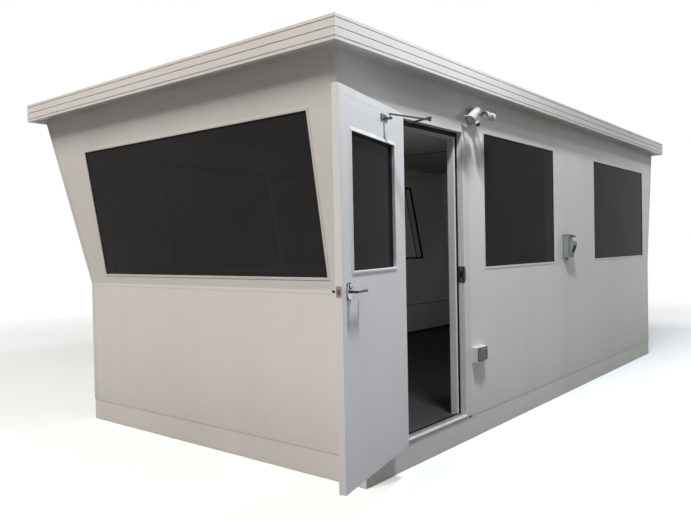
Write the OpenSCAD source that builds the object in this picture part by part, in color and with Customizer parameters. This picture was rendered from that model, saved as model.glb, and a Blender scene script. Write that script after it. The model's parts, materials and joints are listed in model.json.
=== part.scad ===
// Operator cabin on a steel skid base.
// Frame: origin at the centre of the base's underside, +Z up, +X along the length,
// and -Y out of the side that has the door. Millimetres. The door stands open.

/* [Cabin body] */
// Length over the lower end walls
cabin_l = 6000; // [5600:50:7200]
// Width over the lower part of the front and back walls
cabin_w = 2950; // [2600:10:3400]
// Thickness of the insulated wall panels
wall_t = 100; // [75:5:120]
// Height of the skid base
base_h = 167; // [150:1:175]
// Height above the ground at which the ends and the back start to lean
waist_h = 1176; // [1100:1:1200]
// Height of the underside of the roof
soffit_h = 2564; // [2500:2:2800]
// How far each end wall leans out at the roof
end_lean = 234; // [150:1:300]
// How far the back wall leans out at the roof
back_lean = 261; // [200:1:350]

/* [Skid base] */
// Setback of the skid rails behind the wall face
rail_setback = 2; // [0:1:30]
// Flange width of the rails and cross members
rail_flange = 65; // [50:1:90]
// Thickness of the rails and cross members
rail_t = 6; // [4:1:10]
// Number of cross members, an odd number so that one is central
joist_n = 9; // [5:2:11]
// Thickness of the floor deck
deck_t = 30; // [25:1:32]

/* [Roof] */
// Thickness of the roof panel
roof_t = 112; // [80:1:118]
// Overhang beyond the top of the walls
overhang = 110; // [60:5:200]
// Height of the fascia
fascia_h = 142; // [130:1:180]
// Depth of the fascia section behind its face
fascia_d = 40; // [35:1:60]

/* [Windows] */
// Height of the front window sills above the ground
sill_h = 1266; // [1220:1:1300]
// Height of the front window heads above the ground
head_h = 2295; // [2200:1:2320]
// Height of the window sills in the leaning walls
lean_sill_h = 1253; // [1220:1:1300]
// Height of the window heads in the leaning walls
lean_head_h = 2258; // [2200:1:2320]
// Distance of the first front window from the left end of the cabin
front_win_1 = 1553; // [1500:1:1600]
// Width of the first front window
front_win_1_w = 1378; // [1200:1:1400]
// Distance of the second front window from the left end of the cabin
front_win_2 = 4014; // [3900:1:4100]
// Width of the second front window
front_win_2_w = 1770; // [1500:1:1780]
// Distance of the end windows from the front of the cabin
end_win_y = 254; // [200:1:300]
// Width of the end windows
end_win_w = 2446; // [2000:1:2460]
// Width of each back window
back_win_w = 1380; // [1200:1:1400]
// Gap between two back windows
back_win_gap = 100; // [80:1:200]

/* [Door] */
// Distance of the hinge pins from the left end of the cabin
door_x = 285; // [260:1:320]
// Width of the door leaf
leaf_w = 920; // [820:1:940]
// Height of the underside of the door leaf
leaf_z = 210; // [205:1:215]
// Height of the door leaf
leaf_h = 2040; // [2000:1:2060]
// Thickness of the door leaf
leaf_t = 40; // [35:1:44]
// Angle at which the open door stands
door_open = 166; // [0:1:166]

/* [Hidden] */
$fn = 48;
eps = 1;

// Wall planes
half_l = cabin_l / 2;
half_w = cabin_w / 2;
rise = soffit_h - waist_h;
end_angle = atan(end_lean / rise);
back_angle = atan(back_lean / rise);
end_wall_x = wall_t / cos(end_angle);
back_wall_y = wall_t / cos(back_angle);
roof_x = half_l + end_lean + overhang;
roof_front = -half_w - overhang;
roof_back = half_w + back_lean + overhang;

// Doorway
gap = 10;
pin_x = -half_l + door_x;
pin_out = 35;
pin_y = -half_w - pin_out;
leaf_edge = 5;
door_right = pin_x + leaf_edge + leaf_w + gap;
door_head = leaf_z + leaf_h + gap;
sill_top = leaf_z - 6;
sill_foot = sill_top - 20;
sill_back = 36;
strip_back = 58;
rebate = 50;
stop_w = 45;
lining = 25;
flange_side = 85;
flange_top = 65;
flange_t = 2;
flange_foot = base_h + 4;
cut_left = pin_x - lining;
cut_right = door_right + lining;
cut_head = door_head + lining;
gasket_t = 5;

// Door window, measured from the hinge pins
leaf_win_x = 183;
leaf_win_w = 609;
leaf_win_z = 1318;
leaf_win_h = 714;
bead_w = 21;
bead_t = 7;

// Lever and lock
lever_x = leaf_edge + leaf_w - 75;
lever_z = 1220;

// Closer, measured from the hinge pins
spindle = [160, 160];
arm_l = 444;
forearm_l = 317;
shoe_x = 329;
shoe_y = 115;
arm_z = 2199;
forearm_z = 2187;
link_t = 8;

// Points a circle of radius r1 round p1 shares with one of radius r2 round p2
function meet(p1, r1, p2, r2) =
    let (d = norm(p2 - p1), u = (p2 - p1) / d, a = (r1 * r1 - r2 * r2 + d * d) / (2 * d),
         h = sqrt(r1 * r1 - a * a))
    p1 + a * u + h * [-u[1], u[0]];
function turned(p, angle) = [p[0] * cos(angle) - p[1] * sin(angle), p[0] * sin(angle) + p[1] * cos(angle)];

shoe_pin = turned([shoe_x, shoe_y], -door_open);
elbow = meet(spindle, arm_l, shoe_pin, forearm_l);

// Windows as [start, width] along the wall
front_windows = [[front_win_1, front_win_1_w], [front_win_2, front_win_2_w]];
back_pitch = back_win_w + back_win_gap;
back_windows = [for (i = [-1 : 1]) [i * back_pitch - back_win_w / 2, back_win_w]];
frame_lip = 14;
frame_t = 3;
glass_t = 8;
glass_inset = 4;

// Outline of the body seen from the door side
body_outline = [
    [-half_l, base_h], [half_l, base_h], [half_l, waist_h], [half_l + end_lean, soffit_h],
    [-half_l - end_lean, soffit_h], [-half_l, waist_h]
];

// Extrudes an XZ outline along Y
module along_y(y0, y1) {
    translate([0, y1, 0])
        rotate([90, 0, 0])
            linear_extrude(y1 - y0)
                children();
}

// Extrudes a YZ outline along X
module along_x(x0, x1) {
    translate([x0, 0, 0])
        rotate([90, 0, 90])
            linear_extrude(x1 - x0)
                children();
}

// A box from one corner to the other
module span(a, b) {
    translate(a)
        cube(b - a);
}

// Places a child on the leaning left end: X inward, Y along, Z up the slope from the waist
module on_left_slope() {
    translate([-half_l, 0, waist_h])
        rotate([0, -end_angle, 0])
            children();
}

// Places a child on the leaning back: Y outward, X along, Z up the slope from the waist
module on_back_slope() {
    translate([0, half_w, waist_h])
        rotate([-back_angle, 0, 0])
            children();
}

function up_end(z) = (z - waist_h) / cos(end_angle);
function up_back(z) = (z - waist_h) / cos(back_angle);

// Base

rail_x = half_l - rail_setback;
rail_y = half_w - rail_setback;

// C section with its web on X = 0, standing on Z = 0
module channel_section() {
    difference() {
        square([rail_flange, base_h]);
        translate([rail_t, rail_t])
            square([rail_flange, base_h - 2 * rail_t]);
    }
}

// Runs a section along Y, with its outer face on X = 0 and both ends mitred
module mitred_run(y0, y1, depth, height) {
    difference() {
        along_y(y0, y1)
            children();
        for (m = [0, 1])
            translate([0, m > 0 ? y1 : y0, -eps])
                mirror([0, m, 0])
                    rotate([0, 0, 45])
                        translate([-depth, -2 * depth, 0])
                            cube([4 * depth, 2 * depth, height + 2 * eps]);
    }
}

module base_long_rails() {
    color("gainsboro")
        for (side = [0, 1])
            mirror([0, side, 0])
                translate([0, -rail_y, 0])
                    rotate([0, 0, 90])
                        mirror([0, 1, 0])
                            mitred_run(-rail_x, rail_x, rail_flange, base_h)
                                channel_section();
}

module base_end_rails() {
    color("gainsboro")
        for (side = [0, 1])
            mirror([side, 0, 0])
                translate([-rail_x, 0, 0])
                    mitred_run(-rail_y, rail_y, rail_flange, base_h)
                        channel_section();
}

module floor_joists() {
    pitch = (2 * rail_x - 2 * rail_flange) / (joist_n + 1);
    color("dimgray")
        for (i = [0 : joist_n - 1])
            translate([(i - (joist_n - 1) / 2) * pitch - rail_flange / 2, 0, 0])
                along_y(-rail_y + rail_flange, rail_y - rail_flange)
                    channel_section();
}

// The deck, with a tongue between the doorway's stops
module floor_deck() {
    color("dimgray")
        union() {
            span([-half_l + wall_t, -half_w + wall_t, base_h], [half_l - wall_t, half_w - wall_t, base_h + deck_t]);
            span(
                [pin_x + stop_w, -half_w + strip_back, sill_foot],
                [door_right - stop_w, -half_w + wall_t, base_h + deck_t]
            );
        }
}

// Walls

module front_wall_part(x0, x1, z0) {
    color("whitesmoke")
        difference() {
            along_y(-half_w, -half_w + wall_t)
                intersection() {
                    polygon(body_outline);
                    translate([x0, z0])
                        square([x1 - x0, soffit_h]);
                }
            for (w = front_windows)
                span([-half_l + w[0], -half_w - eps, sill_h], [-half_l + w[0] + w[1], -half_w + wall_t + eps, head_h]);
        }
}

module front_wall_left() {
    front_wall_part(-roof_x, cut_left, 0);
}

module front_wall_over_door() {
    front_wall_part(cut_left, cut_right, cut_head);
}

module front_wall_right() {
    front_wall_part(cut_right, roof_x, 0);
}

module back_wall_lower() {
    color("whitesmoke")
        span([-half_l, half_w - wall_t, base_h], [half_l, half_w, waist_h]);
}

module back_wall_upper() {
    color("whitesmoke")
        difference() {
            intersection() {
                along_x(-roof_x, roof_x)
                    polygon([
                        [half_w - wall_t, waist_h], [half_w, waist_h],
                        [half_w + back_lean, soffit_h], [half_w + back_lean - back_wall_y, soffit_h],
                        [half_w - wall_t, waist_h]
                    ]);
                along_y(0, roof_back)
                    polygon(body_outline);
            }
            on_back_slope()
                for (w = back_windows)
                    span([w[0], -2 * wall_t, up_back(lean_sill_h)], [w[0] + w[1], wall_t, up_back(lean_head_h)]);
        }
}

module left_wall_lower() {
    color("whitesmoke")
        span([-half_l, -half_w + wall_t, base_h], [-half_l + wall_t, half_w - wall_t, waist_h]);
}

module left_wall_upper() {
    color("whitesmoke")
        difference() {
            intersection() {
                along_y(-half_w + wall_t, roof_back)
                    polygon([
                        [-half_l, waist_h], [-half_l + wall_t, waist_h],
                        [-half_l - end_lean + end_wall_x, soffit_h], [-half_l - end_lean, soffit_h]
                    ]);
                along_x(-roof_x, 0)
                    polygon([
                        [-half_w + wall_t, waist_h], [half_w - wall_t, waist_h],
                        [half_w + back_lean - back_wall_y, soffit_h], [-half_w + wall_t, soffit_h]
                    ]);
            }
            on_left_slope()
                span(
                    [-wall_t, -half_w + end_win_y, up_end(lean_sill_h)],
                    [2 * wall_t, -half_w + end_win_y + end_win_w, up_end(lean_head_h)]
                );
        }
}

module right_wall_lower() {
    mirror([1, 0, 0])
        left_wall_lower();
}

module right_wall_upper() {
    mirror([1, 0, 0])
        left_wall_upper();
}

// Folded angles that cover the lower vertical corners
module corner_flashings() {
    leg = 45;
    sheet = 1.5;
    color("white")
        for (sx = [0, 1], sy = [0, 1])
            mirror([sx, 0, 0])
                mirror([0, sy, 0])
                    translate([-half_l - sheet, -half_w - sheet, base_h])
                        difference() {
                            cube([leg, leg, waist_h - base_h]);
                            translate([sheet, sheet, -eps])
                                cube([leg, leg, waist_h]);
                        }
}

// Roof

module roof_panel() {
    color("white")
        span(
            [-roof_x + fascia_d, roof_front + fascia_d, soffit_h],
            [roof_x - fascia_d, roof_back - fascia_d, soffit_h + roof_t]
        );
}

// Section of the fascia: its outer face on X = 0, stepped in four bands, and open at the back
module fascia_section() {
    step = 8;
    groove = 5;
    difference() {
        square([fascia_d, fascia_h]);
        for (z = [21, 71, 121])
            translate([-eps, z - groove / 2])
                square([step + eps, groove]);
    }
}

module fascia_run(y0, y1) {
    mitred_run(y0, y1, fascia_d, fascia_h)
        fascia_section();
}

module roof_fascia_ends() {
    color("white")
        for (side = [0, 1])
            mirror([side, 0, 0])
                translate([-roof_x, 0, soffit_h])
                    fascia_run(roof_front, roof_back);
}

module roof_fascia_long() {
    color("white") {
        translate([0, roof_front, soffit_h])
            rotate([0, 0, 90])
                mirror([0, 1, 0])
                    fascia_run(-roof_x, roof_x);
        translate([0, roof_back, soffit_h])
            rotate([0, 0, -90])
                fascia_run(-roof_x, roof_x);
    }
}

module ceiling_strips() {
    strip_w = 24;
    strip_t = 3;
    color("lightgray")
        for (x = [-2700, -900, 900, 2700])
            span(
                [x - strip_w / 2, -half_w + wall_t, soffit_h - strip_t],
                [x + strip_w / 2, half_w + back_lean - back_wall_y - strip_t, soffit_h]
            );
}

// Windows

// Liner of a w by h opening through a wall that runs from Y = 0 to Y = wall_t, with a lip on each face
module window_frame(w, h) {
    difference() {
        union() {
            cube([w, wall_t, h]);
            for (y = [-frame_t, wall_t])
                translate([-frame_lip, y, -frame_lip])
                    cube([w + 2 * frame_lip, frame_t, h + 2 * frame_lip]);
        }
        translate([frame_t, -wall_t, frame_t])
            cube([w - 2 * frame_t, 3 * wall_t, h - 2 * frame_t]);
    }
}

module window_glass(w, h) {
    translate([frame_t, glass_inset, frame_t])
        cube([w - 2 * frame_t, glass_t, h - 2 * frame_t]);
}

module at_front_windows(part) {
    for (w = front_windows)
        translate([-half_l + w[0], -half_w, sill_h])
            if (part == "frame")
                window_frame(w[1], head_h - sill_h);
            else
                window_glass(w[1], head_h - sill_h);
}

module at_back_windows(part) {
    h = up_back(lean_head_h) - up_back(lean_sill_h);
    on_back_slope()
        for (w = back_windows)
            translate([w[0], 0, up_back(lean_sill_h)])
                mirror([0, 1, 0])
                    if (part == "frame")
                        window_frame(w[1], h);
                    else
                        window_glass(w[1], h);
}

module at_end_windows(part) {
    h = up_end(lean_head_h) - up_end(lean_sill_h);
    for (side = [0, 1])
        mirror([side, 0, 0])
            on_left_slope()
                translate([0, -half_w + end_win_y + end_win_w, up_end(lean_sill_h)])
                    rotate([0, 0, -90])
                        if (part == "frame")
                            window_frame(end_win_w, h);
                        else
                            window_glass(end_win_w, h);
}

module front_window_frames() {
    color("white")
        at_front_windows("frame");
}

module front_window_glass() {
    color([0.08, 0.08, 0.09])
        at_front_windows("glass");
}

module back_window_frames() {
    color("white")
        at_back_windows("frame");
}

module back_window_glass() {
    color([0.08, 0.08, 0.09])
        at_back_windows("glass");
}

module end_window_frames() {
    color("white")
        at_end_windows("frame");
}

module end_window_glass() {
    color([0.08, 0.08, 0.09])
        at_end_windows("glass");
}

// Doorway

// Outline of the doorway's frame with everything inside by d left out
module doorway(d, z0) {
    translate([pin_x + d, z0])
        square([door_right - pin_x - 2 * d, door_head - d - z0]);
}

module door_frame() {
    color("white") {
        difference() {
            along_y(-half_w, -half_w + wall_t)
                translate([cut_left, base_h])
                    square([cut_right - cut_left, cut_head - base_h]);
            along_y(-half_w - eps, -half_w + rebate)
                doorway(0, sill_foot);
            along_y(-half_w, -half_w + wall_t + eps)
                doorway(stop_w, sill_foot);
        }
        difference() {
            along_y(-half_w - flange_t, -half_w)
                translate([pin_x - flange_side, flange_foot])
                    square([door_right - pin_x + 2 * flange_side, door_head + flange_top - flange_foot]);
            along_y(-half_w - wall_t, -half_w + wall_t)
                doorway(0, 0);
        }
    }
}

module door_sill() {
    color("silver")
        span([pin_x, -half_w - 8, sill_foot], [door_right, -half_w + sill_back, sill_top]);
}

// Seal on the face of the stop, round the sides and the head, with a strip behind the sill
module door_gasket() {
    color([0.05, 0.05, 0.05]) {
        along_y(-half_w + rebate - gasket_t, -half_w + rebate)
            difference() {
                doorway(0, sill_top);
                doorway(stop_w - 2, 0);
            }
        span([pin_x, -half_w + sill_back, sill_foot], [door_right, -half_w + rebate, sill_top]);
        span(
            [pin_x + stop_w, -half_w + sill_back, sill_foot],
            [door_right - stop_w, -half_w + strip_back, sill_top]
        );
    }
}

// Strike plate: a leg in the rebate and a lip with clipped corners on the face of the frame
module door_keeper() {
    keeper_h = 118;
    keeper_t = 2;
    lip = 20;
    clip = 14;
    face_y = -half_w - flange_t;
    color("dimgray")
        translate([door_right, 0, lever_z - keeper_h / 2 + 4]) {
            span([-keeper_t, face_y - keeper_t, 0], [0, -half_w + rebate - gasket_t - 1, keeper_h]);
            along_y(face_y - keeper_t, face_y)
                polygon([
                    [-keeper_t, 0], [3, 0], [lip, clip], [lip, keeper_h - clip], [3, keeper_h], [-keeper_t, keeper_h]
                ]);
        }
}

hinge_z = [leaf_z + 180, leaf_z + leaf_h / 2, leaf_z + leaf_h - 180];
hinge_h = 100;
hinge_plate_w = 34;
hinge_plate_t = 3;
knuckle_r = 8;
hinge_pin_r = 4;

// One leaf of a butt hinge about Z: its knuckle, its plate against a face at Y = face, and the web between
module hinge_plate(face, h) {
    difference() {
        union() {
            cylinder(r = knuckle_r, h = h);
            translate([4, face - hinge_plate_t, 0])
                cube([hinge_plate_w, hinge_plate_t, h]);
            translate([4, 0, 0])
                cube([hinge_plate_t, face, h]);
        }
        translate([0, 0, -eps])
            cylinder(r = hinge_pin_r, h = h + 2 * eps);
    }
}

module hinge_frame_plates() {
    color("silver")
        for (z = hinge_z)
            translate([pin_x, pin_y, z - hinge_h / 2]) {
                for (k = [0, 2])
                    translate([0, 0, k * hinge_h / 3])
                        mirror([1, 0, 0])
                            hinge_plate(pin_out - flange_t, hinge_h / 3 - 1);
                cylinder(r = hinge_pin_r - 0.3, h = hinge_h - 1);
            }
}

// Door, drawn closed about the hinge pins and then turned to where it stands

module on_door() {
    translate([pin_x, pin_y, 0])
        rotate([0, 0, -door_open])
            children();
}

module door_leaf() {
    color("whitesmoke")
        on_door()
            difference() {
                span([leaf_edge, pin_out, leaf_z], [leaf_edge + leaf_w, pin_out + leaf_t, leaf_z + leaf_h]);
                span(
                    [leaf_win_x, 0, leaf_win_z],
                    [leaf_win_x + leaf_win_w, 2 * wall_t, leaf_win_z + leaf_win_h]
                );
            }
}

module door_window_bead() {
    color("white")
        on_door()
            for (y = [pin_out - bead_t, pin_out + leaf_t])
                difference() {
                    span(
                        [leaf_win_x - bead_w, y, leaf_win_z - bead_w],
                        [leaf_win_x + leaf_win_w + bead_w, y + bead_t, leaf_win_z + leaf_win_h + bead_w]
                    );
                    span(
                        [leaf_win_x, 0, leaf_win_z],
                        [leaf_win_x + leaf_win_w, 2 * wall_t, leaf_win_z + leaf_win_h]
                    );
                }
}

module door_glass() {
    color([0.1, 0.1, 0.11])
        on_door()
            span(
                [leaf_win_x, pin_out + leaf_t / 2 - 4, leaf_win_z],
                [leaf_win_x + leaf_win_w, pin_out + leaf_t / 2 + 4, leaf_win_z + leaf_win_h]
            );
}

module hinge_leaf_plates() {
    color("silver")
        on_door()
            for (z = hinge_z)
                translate([0, 0, z - hinge_h / 6])
                    hinge_plate(pin_out, hinge_h / 3 - 1);
}

rose_w = 52;
rose_h = 84;
rose_t = 8;

// Plate with round ends in XZ, standing on Y = 0
module rose() {
    rotate([90, 0, 0])
        mirror([0, 0, 1])
            difference() {
                union() {
                    for (z = [-1, 1])
                        translate([0, z * (rose_h - rose_w) / 2, 0])
                            cylinder(r = rose_w / 2, h = rose_t);
                    translate([-rose_w / 2, -(rose_h - rose_w) / 2, 0])
                        cube([rose_w, rose_h - rose_w, rose_t]);
                }
                translate([0, 0, -eps])
                    cylinder(r = 12, h = rose_t + 2 * eps);
            }
}

module door_lock() {
    color("silver")
        on_door() {
            for (y = [pin_out - rose_t, pin_out + leaf_t])
                translate([lever_x, y, lever_z])
                    rose();
            translate([leaf_edge + leaf_w, pin_out + 5, lever_z - 26])
                cube([1.5, 30, 56]);
        }
}

// Points of an arc round c
function arc(c, r, from, to) =
    [for (i = [0 : 6]) c + r * [cos(from + (to - from) * i / 6), sin(from + (to - from) * i / 6)]];

// Lever seen from above: out of the door, along it and back towards it
module lever_outline(bar_l, reach, bar_w) {
    outer = 14;
    back = 16;
    polygon(concat(
        [[12, 12]],
        arc([12 - outer, reach - outer], outer, 0, 90),
        arc([outer - bar_l, reach - outer], outer, 90, 180),
        arc([bar_w / 2 - bar_l, reach - bar_w - back], bar_w / 2, 180, 360),
        arc([bar_w + 4 - bar_l, reach - bar_w - 4], 4, 180, 90),
        arc([-12 - 4, reach - bar_w - 4], 4, 90, 0),
        [[-12, 12]]
    ));
}

module door_lever() {
    color("silver")
        on_door()
            for (side = [0, 1])
                translate([lever_x, pin_out + leaf_t / 2, lever_z])
                    mirror([0, side, 0])
                        translate([0, leaf_t / 2 + 0.5, 0]) {
                            rotate([-90, 0, 0])
                                cylinder(r = 11, h = 20);
                            translate([0, 0, -9])
                                linear_extrude(18)
                                    lever_outline(128, 55, 15);
                        }
}

// Closer

leaf_in = pin_out + leaf_t;
hub_r = 13;
eye_r = 10;
elbow_pin_r = 5;
spindle_hole_r = 7.5;

// Bracket on the leaf, with a finger under the forearm's free eye and the stub of its pin
module closer_shoe() {
    shoe_w = 100;
    finger_w = 24;
    plate_z = forearm_z - 25;
    color([0.2, 0.2, 0.21])
        on_door() {
            span([shoe_x - shoe_w / 2, leaf_in, plate_z], [shoe_x + shoe_w / 2, leaf_in + 6, plate_z + 29]);
            span([shoe_x - finger_w / 2, leaf_in, plate_z], [shoe_x + finger_w / 2, shoe_y, plate_z + 10]);
            translate([shoe_x, shoe_y, plate_z]) {
                cylinder(r = finger_w / 2, h = 10);
                cylinder(r = elbow_pin_r, h = 17);
            }
        }
}

// Case above the doorway inside, with its spindle down through the arm's hub
module closer_body() {
    case_z = door_head - stop_w + 8;
    color([0.2, 0.2, 0.21])
        translate([pin_x, -half_w + wall_t, 0]) {
            span([spindle[0] - 60, 0, case_z], [spindle[0] + 190, 50, case_z + 60]);
            translate([spindle[0], spindle[1] - pin_out - wall_t, arm_z + 2])
                cylinder(r = 7, h = case_z - arm_z);
        }
}

// Flat link from p to q, with an eye of radius r1 at p and of radius r2 at q, and a hole in each
module link(p, q, w, r1, r2, hole1, hole2) {
    d = q - p;
    linear_extrude(link_t)
        difference() {
            union() {
                translate(p)
                    rotate(atan2(d[1], d[0]))
                        translate([0, -w / 2])
                            square([norm(d), w]);
                translate(p)
                    circle(r1);
                translate(q)
                    circle(r2);
            }
            translate(p)
                circle(hole1);
            translate(q)
                circle(hole2);
        }
}

// Main arm, with the elbow's pin through its far end
module closer_arm() {
    head_t = 3;
    drop = arm_z - forearm_z;
    color([0.2, 0.2, 0.21])
        translate([pin_x, pin_y, arm_z]) {
            link(spindle, elbow, 19, hub_r, hub_r, spindle_hole_r, elbow_pin_r);
            translate([elbow[0], elbow[1], -drop - 1])
                cylinder(r = elbow_pin_r, h = drop + 1 + link_t);
            translate([elbow[0], elbow[1], -drop - 1 - head_t])
                cylinder(r = eye_r, h = head_t);
            translate([elbow[0], elbow[1], link_t])
                cylinder(r = eye_r, h = 2);
        }
}

// Forearm, with an eye round the elbow's pin and a free eye over the shoe's
module closer_forearm() {
    hole = elbow_pin_r + 0.5;
    color([0.2, 0.2, 0.21])
        translate([pin_x, pin_y, forearm_z])
            link(elbow, shoe_pin, 13, eye_r, eye_r, hole, hole);
}

// Outside fittings

light_x = -half_l + 1350;
light_z = 2345;
light_box = [110, 46, 100];
light_out = 112;
// Middle of each lamp head, as [x, z], then how far it turns from the wall, how far it drops and its length
left_head = [-half_l + 1205, 2369, 0, 36, 155];
right_head = [-half_l + 1424, 2388, 8, 6, 200];
boss_r = 9;
boss_out = light_out - 40;

module spot_light_base() {
    arm_r = 7;
    color("white")
        translate([0, -half_w, 0]) {
            translate([light_x - light_box[0] / 2, -light_box[1], light_z])
                cube(light_box);
            for (head = [left_head, right_head]) {
                translate([head[0], -boss_out + 1, head[1]])
                    rotate([-90, 0, 0])
                        cylinder(r = boss_r, h = boss_out - 30);
                translate([min(head[0], light_x), -37, head[1]])
                    rotate([0, 90, 0])
                        cylinder(r = arm_r, h = abs(head[0] - light_x));
            }
            translate([light_x + 14, -53, light_z - 10])
                sphere(r = 20);
            translate([light_x + 14, -53, light_z - 10])
                cylinder(r = 11, h = 30);
            translate([light_x + 3, -53, light_z])
                cube([22, 25, 20]);
        }
}

// Lamp head along -X: a finned back, a bell and a rim round its lens
module spot_head(head) {
    lens_r = 30;
    rim_r = 37;
    l = head[4];
    color("white")
        translate([head[0], -half_w - light_out, head[1]]) {
            rotate([0, 0, head[2]])
                rotate([0, -90 - head[3], 0])
                    translate([0, 0, -l / 2])
                        rotate_extrude()
                            polygon([
                                [0, 0], [20, 0], [26, 8], [27, l - 126], [33, l - 86], [rim_r, l - 46], [rim_r, l],
                                [lens_r, l], [lens_r, l - 16], [0, l - 16]
                            ]);
            rotate([-90, 0, 0])
                cylinder(r = boss_r, h = light_out - boss_out);
        }
}

module spot_head_left() {
    spot_head(left_head);
}

module spot_head_right() {
    spot_head(right_head);
}

inlet_x = -half_l + 3138;
inlet_z = 1302;
inlet_size = [145, 54, 218];

module inlet_box() {
    color("gray")
        translate([inlet_x, -half_w, inlet_z]) {
            translate([0, -inlet_size[1], 0])
                cube(inlet_size);
            translate([34, -26, -24])
                cylinder(r = 12, h = 24);
        }
}

// Angled inlet on the front of the box: its mouth faces down and its lid is hinged along the top
module inlet_flap() {
    flap_w = 84;
    color("dimgray")
        translate([inlet_x + (inlet_size[0] - flap_w) / 2, -half_w - inlet_size[1], inlet_z])
            rotate([90, 0, 90])
                linear_extrude(flap_w)
                    polygon([[0, 28], [0, 207], [-26, 207], [-26, 190], [-40, 152], [-42, 118], [-16, 44], [-16, 28]]);
}

socket_x = -half_l + 1318;
socket_z = 565;
socket_size = [166, 48, 112];
socket_rim = 5;

module socket_box() {
    color("white")
        translate([socket_x, -half_w - socket_size[1], socket_z])
            difference() {
                cube(socket_size);
                translate([socket_rim, -eps, socket_rim])
                    cube([socket_size[0] - 2 * socket_rim, 9 + eps, socket_size[2] - 2 * socket_rim]);
            }
}

// Sprung lid in the rim, clipped at its lower corners and cut down towards its hinge
module socket_insert() {
    w = socket_size[0] - 2 * socket_rim - 4;
    h = socket_size[2] - 2 * socket_rim - 4;
    clip = 22;
    fall = 16;
    color("gray")
        translate([socket_x + socket_rim + 2, -half_w - socket_size[1] + 9, socket_z + socket_rim + 2])
            rotate([90, 0, 0])
                linear_extrude(13)
                    polygon([[clip, 0], [w - clip, 0], [w, clip], [w, h - fall], [0, h], [0, clip]]);
}

base_long_rails();
base_end_rails();
floor_joists();
floor_deck();
front_wall_left();
front_wall_over_door();
front_wall_right();
back_wall_lower();
back_wall_upper();
left_wall_lower();
left_wall_upper();
right_wall_lower();
right_wall_upper();
corner_flashings();
roof_panel();
roof_fascia_long();
roof_fascia_ends();
ceiling_strips();
front_window_frames();
back_window_frames();
end_window_frames();
front_window_glass();
back_window_glass();
end_window_glass();
door_frame();
door_sill();
door_gasket();
door_keeper();
hinge_frame_plates();
door_leaf();
door_window_bead();
door_glass();
hinge_leaf_plates();
door_lock();
closer_shoe();
door_lever();
closer_body();
closer_arm();
closer_forearm();
spot_light_base();
spot_head_left();
spot_head_right();
inlet_box();
inlet_flap();
socket_box();
socket_insert();
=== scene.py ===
import json
import math

import bmesh
import bpy
from mathutils import Matrix, Vector


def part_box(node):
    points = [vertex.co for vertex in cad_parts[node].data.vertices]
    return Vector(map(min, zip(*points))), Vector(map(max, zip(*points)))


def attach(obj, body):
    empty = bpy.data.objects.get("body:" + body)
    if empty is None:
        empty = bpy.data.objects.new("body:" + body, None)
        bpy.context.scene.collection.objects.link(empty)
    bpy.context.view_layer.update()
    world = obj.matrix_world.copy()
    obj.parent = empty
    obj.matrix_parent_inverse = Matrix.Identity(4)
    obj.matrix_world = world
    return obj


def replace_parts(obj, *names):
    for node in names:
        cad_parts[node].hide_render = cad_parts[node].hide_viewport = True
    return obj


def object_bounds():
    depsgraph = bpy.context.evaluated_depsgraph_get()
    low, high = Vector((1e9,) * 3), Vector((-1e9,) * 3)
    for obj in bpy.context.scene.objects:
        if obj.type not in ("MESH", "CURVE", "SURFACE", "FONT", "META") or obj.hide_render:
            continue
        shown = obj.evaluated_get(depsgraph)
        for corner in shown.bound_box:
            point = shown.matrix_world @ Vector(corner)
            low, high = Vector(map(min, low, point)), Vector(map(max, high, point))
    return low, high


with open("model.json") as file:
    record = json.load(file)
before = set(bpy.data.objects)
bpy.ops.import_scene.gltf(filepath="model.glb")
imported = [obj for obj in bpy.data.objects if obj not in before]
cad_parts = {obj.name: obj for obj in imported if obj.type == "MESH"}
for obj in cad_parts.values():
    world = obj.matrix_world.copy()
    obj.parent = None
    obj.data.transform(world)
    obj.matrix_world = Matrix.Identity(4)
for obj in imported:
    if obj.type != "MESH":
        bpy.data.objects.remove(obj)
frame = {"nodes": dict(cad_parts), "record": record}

cadLow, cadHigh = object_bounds()
print("frame loaded:", len(frame["nodes"]), "nodes")

# Camera, at a standing person's eye near the door corner

cameraPlace = {
    "eye": (-6.165, -3.907, 1.442),  # metres
    "heading": 38.9436,  # degrees from +X towards +Y
    "dip": 1.0551,
    "roll": -1.1211,
    "lens": 35.2,  # mm, on a sensor 36 mm wide
}


def placeCamera(place):
    yaw, pitch, roll = (math.radians(place[k]) for k in ("heading", "dip", "roll"))
    ahead = Vector((math.cos(yaw) * math.cos(pitch), math.sin(yaw) * math.cos(pitch), -math.sin(pitch)))
    level = Vector((math.sin(yaw), -math.cos(yaw), 0))
    up = level.cross(ahead)
    right = level * math.cos(roll) + up * math.sin(roll)
    top = up * math.cos(roll) - level * math.sin(roll)
    data = bpy.data.cameras.new("camera")
    data.lens, data.sensor_width = place["lens"], 36
    camera = bpy.data.objects.new("camera", data)
    turn = Matrix((right, top, -ahead)).transposed().to_4x4()
    camera.matrix_world = Matrix.Translation(place["eye"]) @ turn
    bpy.context.scene.collection.objects.link(camera)
    bpy.context.scene.camera = camera


placeCamera(cameraPlace)
bpy.context.scene.view_settings.view_transform = "Standard"
print("camera placed")

# Node trees written as sums


class Wire:  # a socket that can stand in a sum
    def __init__(self, recipe, socket):
        self.recipe, self.socket = recipe, socket

    def maths(self, operation, first, second):
        return self.recipe.node("ShaderNodeMath", {"operation": operation}, {0: first, 1: second})

    def __add__(self, other):
        return self.maths("ADD", self, other)

    def __radd__(self, other):
        return self.maths("ADD", other, self)

    def __sub__(self, other):
        return self.maths("SUBTRACT", self, other)

    def __rsub__(self, other):
        return self.maths("SUBTRACT", other, self)

    def __mul__(self, other):
        return self.maths("MULTIPLY", self, other)

    def __rmul__(self, other):
        return self.maths("MULTIPLY", other, self)


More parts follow.
